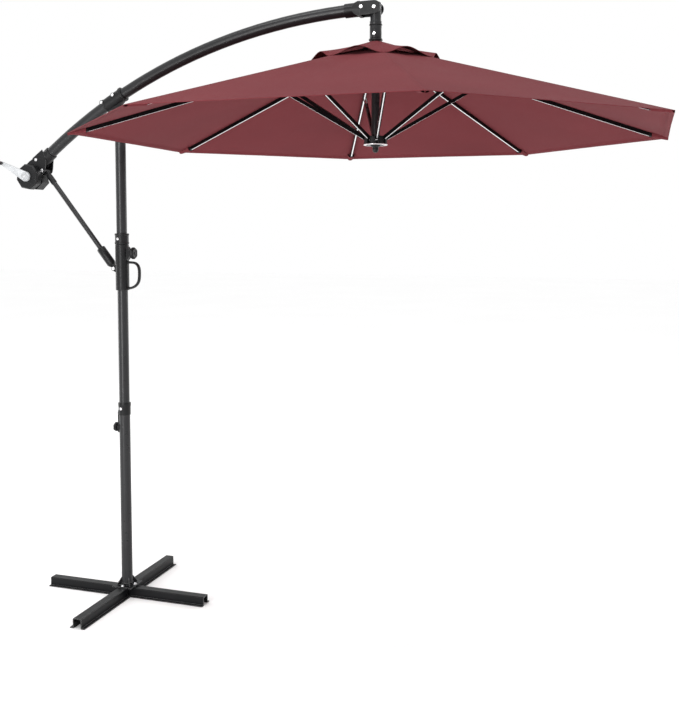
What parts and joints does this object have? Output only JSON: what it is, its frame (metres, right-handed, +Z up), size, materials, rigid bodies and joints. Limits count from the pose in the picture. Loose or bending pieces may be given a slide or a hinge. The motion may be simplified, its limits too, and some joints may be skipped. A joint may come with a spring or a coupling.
{
  "type": "cantilever patio umbrella",
  "caption": "Cantilever patio umbrella: crossed steel base, round pole, bowed boom with crank, and an octagonal canopy with a vent cap that folds down beside the pole.",
  "frame": {"origin": "on the floor, on the pole's axis, at the middle of the crossed base", "axes": "+Z up along the pole, +X along the boom towards the canopy, +Y to the side, so that the crank faces -Y"},
  "size_m": [2.951, 2.3096, 2.6352],
  "materials": {
    "base_paint": "satin",
    "pole_paint": "satin",
    "frame_paint": "satin",
    "rib_paint": "satin",
    "inner_tube": "satin",
    "bright_steel": "gloss",
    "black_plastic": "satin",
    "pale_plastic": "satin",
    "canopy_cloth": "matte"
  },
  "bodies": {
    "base_and_pole": {"cross_bar_x": "base_paint", "cross_bar_y": "base_paint", "spacer_block": "black_plastic", "pole_foot": "base_paint", "base_bolt_1": "bright_steel", "base_bolt_2": "bright_steel", "base_bolt_3": "bright_steel", "base_bolt_4": "bright_steel", "lower_pole": "pole_paint", "lower_collar": "black_plastic", "upper_pole": "pole_paint", "pole_head": "black_plastic", "bracket_pin": "bright_steel"},
    "lower_knob_body": {"lower_knob": "black_plastic"},
    "slider": {"slider_sleeve": "black_plastic", "slider_ring": "black_plastic", "slider_handle": "black_plastic", "strut_pin": "bright_steel"},
    "slider_knob_body": {"slider_knob": "black_plastic"},
    "strut": {"strut_socket": "black_plastic", "strut_tube": "frame_paint", "strut_end": "black_plastic"},
    "bracket": {"boom_bracket": "black_plastic"},
    "boom": {"boom_tube": "frame_paint", "crank_bracket": "black_plastic", "crank_pin": "bright_steel", "elbow": "black_plastic", "elbow_pin": "bright_steel", "crank_housing": "black_plastic", "crank_cover": "black_plastic"},
    "crank": {"crank_spool": "bright_steel", "crank_arm": "pale_plastic"},
    "crank_grip_body": {"crank_grip": "black_plastic"},
    "hanger": {"hanger_tube": "frame_paint", "swivel_collar": "frame_paint", "coupler": "frame_paint", "cap_flange": "black_plastic", "centre_post": "frame_paint", "crown_hub": "black_plastic", "canopy": "canopy_cloth", "vent_cap": "canopy_cloth"},
    "runner": {"runner_hub": "black_plastic", "inner_tube": "inner_tube", "finial": "black_plastic"},
    "rib_1_body": {"rib_1": "rib_paint"},
    "rib_2_body": {"rib_2": "rib_paint"},
    "rib_3_body": {"rib_3": "rib_paint"},
    "rib_4_body": {"rib_4": "rib_paint"},
    "rib_5_body": {"rib_5": "rib_paint"},
    "rib_6_body": {"rib_6": "rib_paint"},
    "rib_7_body": {"rib_7": "rib_paint"},
    "rib_8_body": {"rib_8": "rib_paint"},
    "stretcher_1_body": {"stretcher_1": "rib_paint"},
    "stretcher_2_body": {"stretcher_2": "rib_paint"},
    "stretcher_3_body": {"stretcher_3": "rib_paint"},
    "stretcher_4_body": {"stretcher_4": "rib_paint"},
    "stretcher_5_body": {"stretcher_5": "rib_paint"},
    "stretcher_6_body": {"stretcher_6": "rib_paint"},
    "stretcher_7_body": {"stretcher_7": "rib_paint"},
    "stretcher_8_body": {"stretcher_8": "rib_paint"}
  },
  "joints": [
    {"name": "slider_travel", "type": "slide", "parent": "base_and_pole", "child": "slider", "axis": [0, 0, -1], "range_m": [0, 0.515]},
    {"name": "slider_knob_turn", "type": "hinge", "parent": "slider", "child": "slider_knob_body", "pos_m": [0.0445, 0, 1.594], "axis": [1, 0, 0], "continuous": true},
    {"name": "lower_knob_turn", "type": "hinge", "parent": "base_and_pole", "child": "lower_knob_body", "pos_m": [-0.0324, 0, 0.789], "axis": [-1, 0, 0], "continuous": true},
    {"name": "strut_swing", "type": "hinge", "parent": "slider", "child": "strut", "pos_m": [-0.0385, 0, 1.5235], "axis": [0, -1, 0], "range_deg": [0, 60.01]},
    {"name": "bracket_tilt", "type": "hinge", "parent": "base_and_pole", "child": "bracket", "pos_m": [0, 0, 2.2387], "axis": [0, -1, 0], "range_deg": [0, 19.36]},
    {"name": "boom_slide", "type": "hinge", "parent": "bracket", "child": "boom", "pos_m": [1.204, 0, 0.082], "axis": [0, -1, 0], "range_deg": [0, 23.02]},
    {"name": "crank_turn", "type": "hinge", "parent": "boom", "child": "crank", "pos_m": [-0.45504, 0, 1.94593], "axis": [0, -1, 0], "range_deg": [0, 1619.05]},
    {"name": "grip_spin", "type": "hinge", "parent": "crank", "child": "crank_grip_body", "pos_m": [-0.58304, 0, 2.00993], "axis": [0, -1, 0], "continuous": true},
    {"name": "hanger_swing", "type": "hinge", "parent": "boom", "child": "hanger", "pos_m": [1.204, 0, 2.607], "axis": [0, 1, 0], "range_deg": [0, 42.36]},
    {"name": "runner_travel", "type": "slide", "parent": "hanger", "child": "runner", "axis": [0, 0, -1], "range_m": [0, 0.5653]},
    {"name": "rib_1_fold", "type": "hinge", "parent": "hanger", "child": "rib_1_body", "pos_m": [1.24096, 0.01531, 2.4372], "axis": [-0.3827, 0.9239, 0], "range_deg": [0, 71.03], "deforming": ["canopy", "vent_cap"]},
    {"name": "rib_2_fold", "type": "hinge", "parent": "hanger", "child": "rib_2_body", "pos_m": [1.21931, 0.03696, 2.4372], "axis": [-0.9239, 0.3827, 0], "range_deg": [0, 71.03]},
    {"name": "rib_3_fold", "type": "hinge", "parent": "hanger", "child": "rib_3_body", "pos_m": [1.18869, 0.03696, 2.4372], "axis": [-0.9239, -0.3827, 0], "range_deg": [0, 71.03]},
    {"name": "rib_4_fold", "type": "hinge", "parent": "hanger", "child": "rib_4_body", "pos_m": [1.16705, 0.01531, 2.4372], "axis": [-0.3827, -0.9239, 0], "range_deg": [0, 71.03]},
    {"name": "rib_5_fold", "type": "hinge", "parent": "hanger", "child": "rib_5_body", "pos_m": [1.16705, -0.01531, 2.4372], "axis": [0.3827, -0.9239, 0], "range_deg": [0, 71.03]},
    {"name": "rib_6_fold", "type": "hinge", "parent": "hanger", "child": "rib_6_body", "pos_m": [1.18869, -0.03696, 2.4372], "axis": [0.9239, -0.3827, 0], "range_deg": [0, 71.03]},
    {"name": "rib_7_fold", "type": "hinge", "parent": "hanger", "child": "rib_7_body", "pos_m": [1.21931, -0.03696, 2.4372], "axis": [0.9239, 0.3827, 0], "range_deg": [0, 71.03]},
    {"name": "rib_8_fold", "type": "hinge", "parent": "hanger", "child": "rib_8_body", "pos_m": [1.24096, -0.01531, 2.4372], "axis": [0.3827, 0.9239, 0], "range_deg": [0, 71.03]},
    {"name": "stretcher_1_lift", "type": "hinge", "parent": "runner", "child": "stretcher_1_body", "pos_m": [1.23911, 0.01454, 2.069], "axis": [0.3827, -0.9239, 0], "range_deg": [0, 57.95]},
    {"name": "stretcher_2_lift", "type": "hinge", "parent": "runner", "child": "stretcher_2_body", "pos_m": [1.21854, 0.03511, 2.069], "axis": [0.9239, -0.3827, 0], "range_deg": [0, 57.95]},
    {"name": "stretcher_3_lift", "type": "hinge", "parent": "runner", "child": "stretcher_3_body", "pos_m": [1.18946, 0.03511, 2.069], "axis": [0.9239, 0.3827, 0], "range_deg": [0, 57.95]},
    {"name": "stretcher_4_lift", "type": "hinge", "parent": "runner", "child": "stretcher_4_body", "pos_m": [1.16889, 0.01454, 2.069], "axis": [0.3827, 0.9239, 0], "range_deg": [0, 57.95]},
    {"name": "stretcher_5_lift", "type": "hinge", "parent": "runner", "child": "stretcher_5_body", "pos_m": [1.16889, -0.01454, 2.069], "axis": [-0.3827, 0.9239, 0], "range_deg": [0, 57.95]},
    {"name": "stretcher_6_lift", "type": "hinge", "parent": "runner", "child": "stretcher_6_body", "pos_m": [1.18946, -0.03511, 2.069], "axis": [-0.9239, 0.3827, 0], "range_deg": [0, 57.95]},
    {"name": "stretcher_7_lift", "type": "hinge", "parent": "runner", "child": "stretcher_7_body", "pos_m": [1.21854, -0.03511, 2.069], "axis": [-0.9239, -0.3827, 0], "range_deg": [0, 57.95]},
    {"name": "stretcher_8_lift", "type": "hinge", "parent": "runner", "child": "stretcher_8_body", "pos_m": [1.23911, -0.01454, 2.069], "axis": [-0.3827, -0.9239, 0], "range_deg": [0, 57.95]}
  ],
  "couplings": [
    {"joint": "strut_swing", "follows": "slider_travel", "rad_per_m": 2.0329},
    {"joint": "bracket_tilt", "follows": "slider_travel", "rad_per_m": 0.65547},
    {"joint": "boom_slide", "follows": "slider_travel", "rad_per_m": 0.77947},
    {"joint": "crank_turn", "follows": "slider_travel", "rad_per_m": 54.869},
    {"joint": "hanger_swing", "follows": "slider_travel", "rad_per_m": 1.4349},
    {"joint": "runner_travel", "follows": "slider_travel", "ratio": 1.0974},
    {"joint": "rib_1_fold", "follows": "slider_travel", "rad_per_m": 2.4066},
    {"joint": "rib_2_fold", "follows": "slider_travel", "rad_per_m": 2.4066},
    {"joint": "rib_3_fold", "follows": "slider_travel", "rad_per_m": 2.4066},
    {"joint": "rib_4_fold", "follows": "slider_travel", "rad_per_m": 2.4066},
    {"joint": "rib_5_fold", "follows": "slider_travel", "rad_per_m": 2.4066},
    {"joint": "rib_6_fold", "follows": "slider_travel", "rad_per_m": 2.4066},
    {"joint": "rib_7_fold", "follows": "slider_travel", "rad_per_m": 2.4066},
    {"joint": "rib_8_fold", "follows": "slider_travel", "rad_per_m": 2.4066},
    {"joint": "stretcher_1_lift", "follows": "slider_travel", "rad_per_m": 1.9631},
    {"joint": "stretcher_2_lift", "follows": "slider_travel", "rad_per_m": 1.9631},
    {"joint": "stretcher_3_lift", "follows": "slider_travel", "rad_per_m": 1.9631},
    {"joint": "stretcher_4_lift", "follows": "slider_travel", "rad_per_m": 1.9631},
    {"joint": "stretcher_5_lift", "follows": "slider_travel", "rad_per_m": 1.9631},
    {"joint": "stretcher_6_lift", "follows": "slider_travel", "rad_per_m": 1.9631},
    {"joint": "stretcher_7_lift", "follows": "slider_travel", "rad_per_m": 1.9631},
    {"joint": "stretcher_8_lift", "follows": "slider_travel", "rad_per_m": 1.9631}
  ]
}
